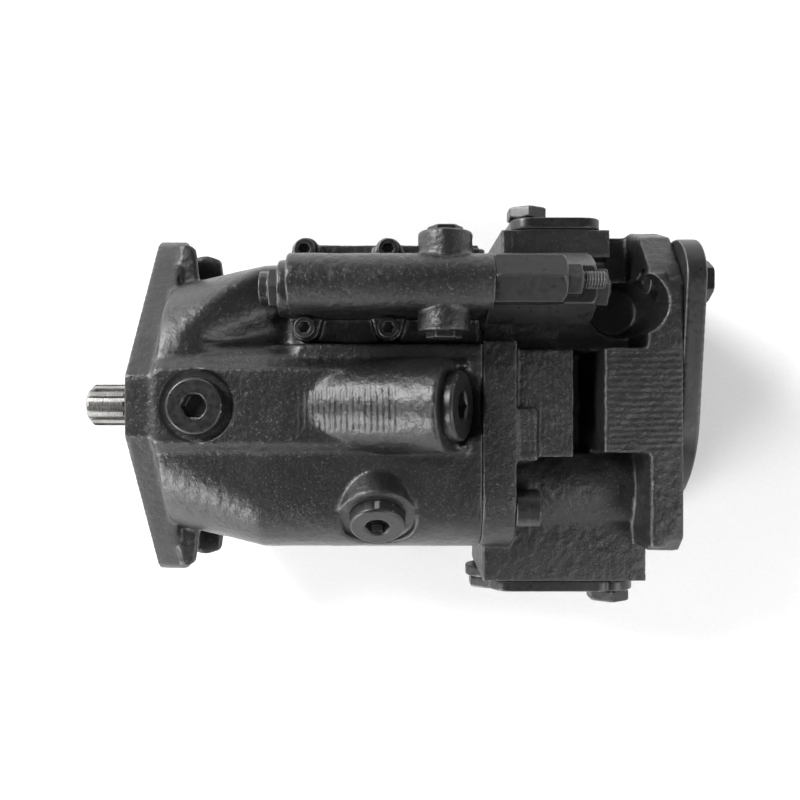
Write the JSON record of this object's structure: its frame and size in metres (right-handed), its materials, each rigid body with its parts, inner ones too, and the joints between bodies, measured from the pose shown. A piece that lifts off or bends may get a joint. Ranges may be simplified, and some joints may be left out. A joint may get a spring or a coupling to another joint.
{
  "type": "axial piston pump",
  "caption": "Variable axial piston pump with a two-bolt flange, splined shaft, swash plate, port plate and a stacked pressure and flow control valve.",
  "frame": {"origin": "centre of the mounting flange's face, on the shaft's axis", "axes": "+X along the shaft from its nose towards the port plate, +Y towards the pressure port, +Z towards the control valve and the upper drain plug"},
  "size_m": [0.3133, 0.1969, 0.1532],
  "materials": {
    "black_cast_iron": "semi-gloss black paint over rough sand casting",
    "black_steel": "black paint over machined steel",
    "machined_steel": "ground and turned steel, lightly oiled",
    "bare_cast_iron": "machined bare cast iron",
    "bronze": "machined bearing bronze",
    "rubber": "moulded nitrile",
    "gasket_fibre": "compressed fibre sheet"
  },
  "bodies": {
    "housing": {"pump_housing": "black_cast_iron", "flange_ears": "black_cast_iron", "port_plate": "black_cast_iron", "port_plate_screws": "black_steel", "drain_plugs": "black_steel", "stroking_cylinder_plug": "black_steel", "seal_rings": "rubber", "shaft_seal": "rubber", "seal_retaining_ring": "black_steel", "bearing_cups": "machined_steel", "cradle_bearings": "bronze", "valve_plate": "bronze", "control_valve_body": "black_cast_iron", "control_valve_screws": "black_steel", "spool_end_plugs": "black_steel", "valve_port_plugs": "black_steel", "spring_cap_flow": "black_steel", "spring_cap_pressure": "black_steel", "lock_nuts": "black_steel", "pressure_port_cover": "black_steel", "suction_port_cover": "black_steel", "port_cover_bolts": "black_steel", "flat_gaskets": "gasket_fibre", "rear_cover": "black_steel", "rear_cover_bolts": "black_steel", "bias_spring": "machined_steel", "spool_spring_flow": "machined_steel", "spool_spring_pressure": "machined_steel"},
    "rotating_group": {"drive_shaft": "machined_steel", "bearing_cones": "machined_steel", "cylinder_block": "bare_cast_iron", "block_spring": "machined_steel", "retainer_ball": "machined_steel", "through_drive_coupling": "machined_steel"},
    "swash": {"swash_plate": "bare_cast_iron"},
    "retaining_plate": {"retaining_plate": "machined_steel"},
    "piston_1": {"piston_1": "machined_steel"},
    "slipper_1": {"slipper_1": "bronze"},
    "piston_2": {"piston_2": "machined_steel"},
    "slipper_2": {"slipper_2": "bronze"},
    "piston_3": {"piston_3": "machined_steel"},
    "slipper_3": {"slipper_3": "bronze"},
    "piston_4": {"piston_4": "machined_steel"},
    "slipper_4": {"slipper_4": "bronze"},
    "piston_5": {"piston_5": "machined_steel"},
    "slipper_5": {"slipper_5": "bronze"},
    "piston_6": {"piston_6": "machined_steel"},
    "slipper_6": {"slipper_6": "bronze"},
    "piston_7": {"piston_7": "machined_steel"},
    "slipper_7": {"slipper_7": "bronze"},
    "piston_8": {"piston_8": "machined_steel"},
    "slipper_8": {"slipper_8": "bronze"},
    "piston_9": {"piston_9": "machined_steel"},
    "slipper_9": {"slipper_9": "bronze"},
    "stroking_piston": {"stroking_piston": "machined_steel"},
    "bias_piston": {"bias_piston": "machined_steel"},
    "spool_flow": {"spool_flow": "machined_steel"},
    "adjuster_flow": {"adjuster_flow": "black_steel"},
    "spool_pressure": {"spool_pressure": "machined_steel"},
    "adjuster_pressure": {"adjuster_pressure": "black_steel"}
  },
  "joints": [
    {"name": "shaft_spin", "type": "hinge", "parent": "housing", "child": "rotating_group", "pos_m": [0, 0, 0], "axis": [1, 0, 0], "range_deg": [-360, 360]},
    {"name": "swash_tilt", "type": "hinge", "parent": "housing", "child": "swash", "pos_m": [0.095, 0, 0], "axis": [0, 1, 0], "range_deg": [0, 16]},
    {"name": "retaining_plate_tilt", "type": "hinge", "parent": "rotating_group", "child": "retaining_plate", "pos_m": [0.095, 0, 0], "axis": [0, 1, 0], "range_deg": [-0.02, 16.02]},
    {"name": "piston_1_stroke", "type": "slide", "parent": "rotating_group", "child": "piston_1", "axis": [1, 0, 0], "range_m": [-0.00001, 0.00833]},
    {"name": "slipper_1_swivel", "type": "hinge", "parent": "piston_1", "child": "slipper_1", "pos_m": [0.095, 0, 0.029], "axis": [0, 1, 0], "range_deg": [-0.02, 16.02]},
    {"name": "piston_2_stroke", "type": "slide", "parent": "rotating_group", "child": "piston_2", "axis": [1, 0, 0], "range_m": [-0.00001, 0.00638]},
    {"name": "slipper_2_swivel", "type": "hinge", "parent": "piston_2", "child": "slipper_2", "pos_m": [0.095, -0.01864, 0.02222], "axis": [0, 1, 0], "range_deg": [-0.02, 16.02]},
    {"name": "piston_3_stroke", "type": "slide", "parent": "rotating_group", "child": "piston_3", "axis": [1, 0, 0], "range_m": [-0.00001, 0.00145]},
    {"name": "slipper_3_swivel", "type": "hinge", "parent": "piston_3", "child": "slipper_3", "pos_m": [0.095, -0.02856, 0.00504], "axis": [0, 1, 0], "range_deg": [-0.02, 16.02]},
    {"name": "piston_4_stroke", "type": "slide", "parent": "rotating_group", "child": "piston_4", "axis": [1, 0, 0], "range_m": [-0.00417, 0.00001]},
    {"name": "slipper_4_swivel", "type": "hinge", "parent": "piston_4", "child": "slipper_4", "pos_m": [0.095, -0.02511, -0.0145], "axis": [0, 1, 0], "range_deg": [-0.02, 16.02]},
    {"name": "piston_5_stroke", "type": "slide", "parent": "rotating_group", "child": "piston_5", "axis": [1, 0, 0], "range_m": [-0.00782, 0.00001]},
    {"name": "slipper_5_swivel", "type": "hinge", "parent": "piston_5", "child": "slipper_5", "pos_m": [0.095, -0.00992, -0.02725], "axis": [0, 1, 0], "range_deg": [-0.02, 16.02]},
    {"name": "piston_6_stroke", "type": "slide", "parent": "rotating_group", "child": "piston_6", "axis": [1, 0, 0], "range_m": [-0.00782, 0.00001]},
    {"name": "slipper_6_swivel", "type": "hinge", "parent": "piston_6", "child": "slipper_6", "pos_m": [0.095, 0.00992, -0.02725], "axis": [0, 1, 0], "range_deg": [-0.02, 16.02]},
    {"name": "piston_7_stroke", "type": "slide", "parent": "rotating_group", "child": "piston_7", "axis": [1, 0, 0], "range_m": [-0.00417, 0.00001]},
    {"name": "slipper_7_swivel", "type": "hinge", "parent": "piston_7", "child": "slipper_7", "pos_m": [0.095, 0.02511, -0.0145], "axis": [0, 1, 0], "range_deg": [-0.02, 16.02]},
    {"name": "piston_8_stroke", "type": "slide", "parent": "rotating_group", "child": "piston_8", "axis": [1, 0, 0], "range_m": [-0.00001, 0.00145]},
    {"name": "slipper_8_swivel", "type": "hinge", "parent": "piston_8", "child": "slipper_8", "pos_m": [0.095, 0.02856, 0.00504], "axis": [0, 1, 0], "range_deg": [-0.02, 16.02]},
    {"name": "piston_9_stroke", "type": "slide", "parent": "rotating_group", "child": "piston_9", "axis": [1, 0, 0], "range_m": [-0.00001, 0.00638]},
    {"name": "slipper_9_swivel", "type": "hinge", "parent": "piston_9", "child": "slipper_9", "pos_m": [0.095, 0.01864, 0.02222], "axis": [0, 1, 0], "range_deg": [-0.02, 16.02]},
    {"name": "stroking_piston_slide", "type": "slide", "parent": "housing", "child": "stroking_piston", "axis": [0.9272, 0, 0.3746], "range_m": [-0.00001, 0.01574]},
    {"name": "bias_piston_slide", "type": "slide", "parent": "housing", "child": "bias_piston", "axis": [1, 0, 0], "range_m": [-0.01347, 0.00001], "deforming": ["bias_spring"]},
    {"name": "spool_flow_slide", "type": "slide", "parent": "housing", "child": "spool_flow", "axis": [1, 0, 0], "range_m": [-0.002, 0.002], "deforming": ["spool_spring_flow"]},
    {"name": "adjuster_flow_screw", "type": "slide", "parent": "housing", "child": "adjuster_flow", "axis": [1, 0, 0], "range_m": [-0.002, 0.002]},
    {"name": "spool_pressure_slide", "type": "slide", "parent": "housing", "child": "spool_pressure", "axis": [1, 0, 0], "range_m": [-0.002, 0.002], "deforming": ["spool_spring_pressure"]},
    {"name": "adjuster_pressure_screw", "type": "slide", "parent": "housing", "child": "adjuster_pressure", "axis": [1, 0, 0], "range_m": [-0.002, 0.002]}
  ],
  "couplings": [
    {"joint": "retaining_plate_tilt", "follows": "swash_tilt", "ratio": 1},
    {"joint": "piston_1_stroke", "follows": "swash_tilt", "m_per_rad": 0.029778},
    {"joint": "slipper_1_swivel", "follows": "swash_tilt", "ratio": 1},
    {"joint": "piston_2_stroke", "follows": "swash_tilt", "m_per_rad": 0.022811},
    {"joint": "slipper_2_swivel", "follows": "swash_tilt", "ratio": 1},
    {"joint": "piston_3_stroke", "follows": "swash_tilt", "m_per_rad": 0.0051709},
    {"joint": "slipper_3_swivel", "follows": "swash_tilt", "ratio": 1},
    {"joint": "piston_4_stroke", "follows": "swash_tilt", "m_per_rad": -0.014889},
    {"joint": "slipper_4_swivel", "follows": "swash_tilt", "ratio": 1},
    {"joint": "piston_5_stroke", "follows": "swash_tilt", "m_per_rad": -0.027982},
    {"joint": "slipper_5_swivel", "follows": "swash_tilt", "ratio": 1},
    {"joint": "piston_6_stroke", "follows": "swash_tilt", "m_per_rad": -0.027982},
    {"joint": "slipper_6_swivel", "follows": "swash_tilt", "ratio": 1},
    {"joint": "piston_7_stroke", "follows": "swash_tilt", "m_per_rad": -0.014889},
    {"joint": "slipper_7_swivel", "follows": "swash_tilt", "ratio": 1},
    {"joint": "piston_8_stroke", "follows": "swash_tilt", "m_per_rad": 0.0051709},
    {"joint": "slipper_8_swivel", "follows": "swash_tilt", "ratio": 1},
    {"joint": "piston_9_stroke", "follows": "swash_tilt", "m_per_rad": 0.022811},
    {"joint": "slipper_9_swivel", "follows": "swash_tilt", "ratio": 1},
    {"joint": "stroking_piston_slide", "follows": "swash_tilt", "m_per_rad": 0.056319},
    {"joint": "bias_piston_slide", "follows": "swash_tilt", "m_per_rad": -0.048197}
  ]
}
